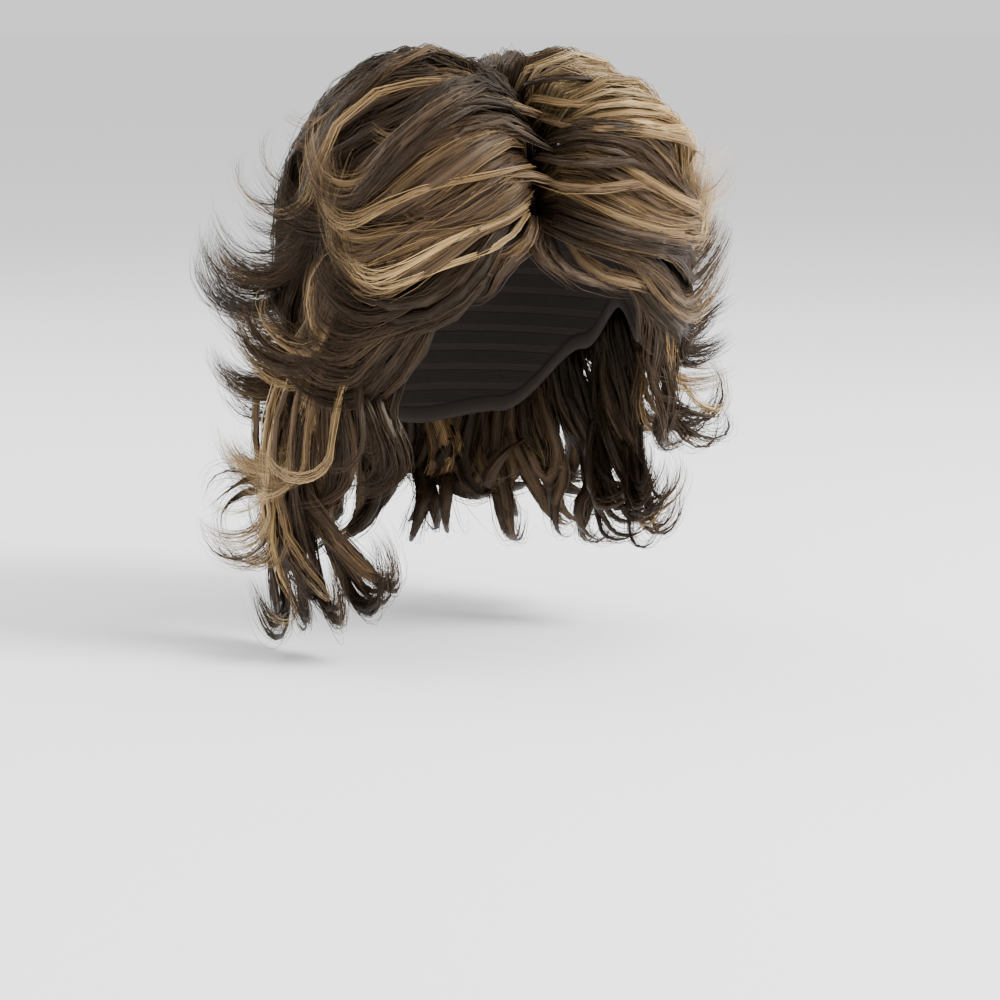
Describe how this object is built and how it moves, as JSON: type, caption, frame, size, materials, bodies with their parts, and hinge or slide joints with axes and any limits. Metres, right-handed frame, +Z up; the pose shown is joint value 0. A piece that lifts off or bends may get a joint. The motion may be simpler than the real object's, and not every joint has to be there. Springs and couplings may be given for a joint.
{
  "type": "curly wig",
  "caption": "Layered curly wig: a thin open stretch cap that sits on the head, with wefts of tapering, flicked locks sewn round it as fringe, crown, sides, back and nape.",
  "frame": {"origin": "the point inside the cap's top that rests on the top of the head", "axes": "+Z up, -Y towards the face side, +X towards the wearer's left"},
  "size_m": [0.2891, 0.2852, 0.3112],
  "materials": {
    "cap_fabric": "matt stretch net",
    "hair": "satin synthetic hair, brown with golden and pale blond streaks"
  },
  "bodies": {
    "root": {"cap": "cap_fabric", "fringe_right": "hair", "fringe_left": "hair", "crown_right": "hair", "crown_left": "hair", "crown_back": "hair", "side_upper_right": "hair", "side_upper_left": "hair", "back_upper": "hair", "side_lower_right": "hair", "side_lower_left": "hair", "back_lower": "hair", "nape": "hair"}
  },
  "joints": []
}
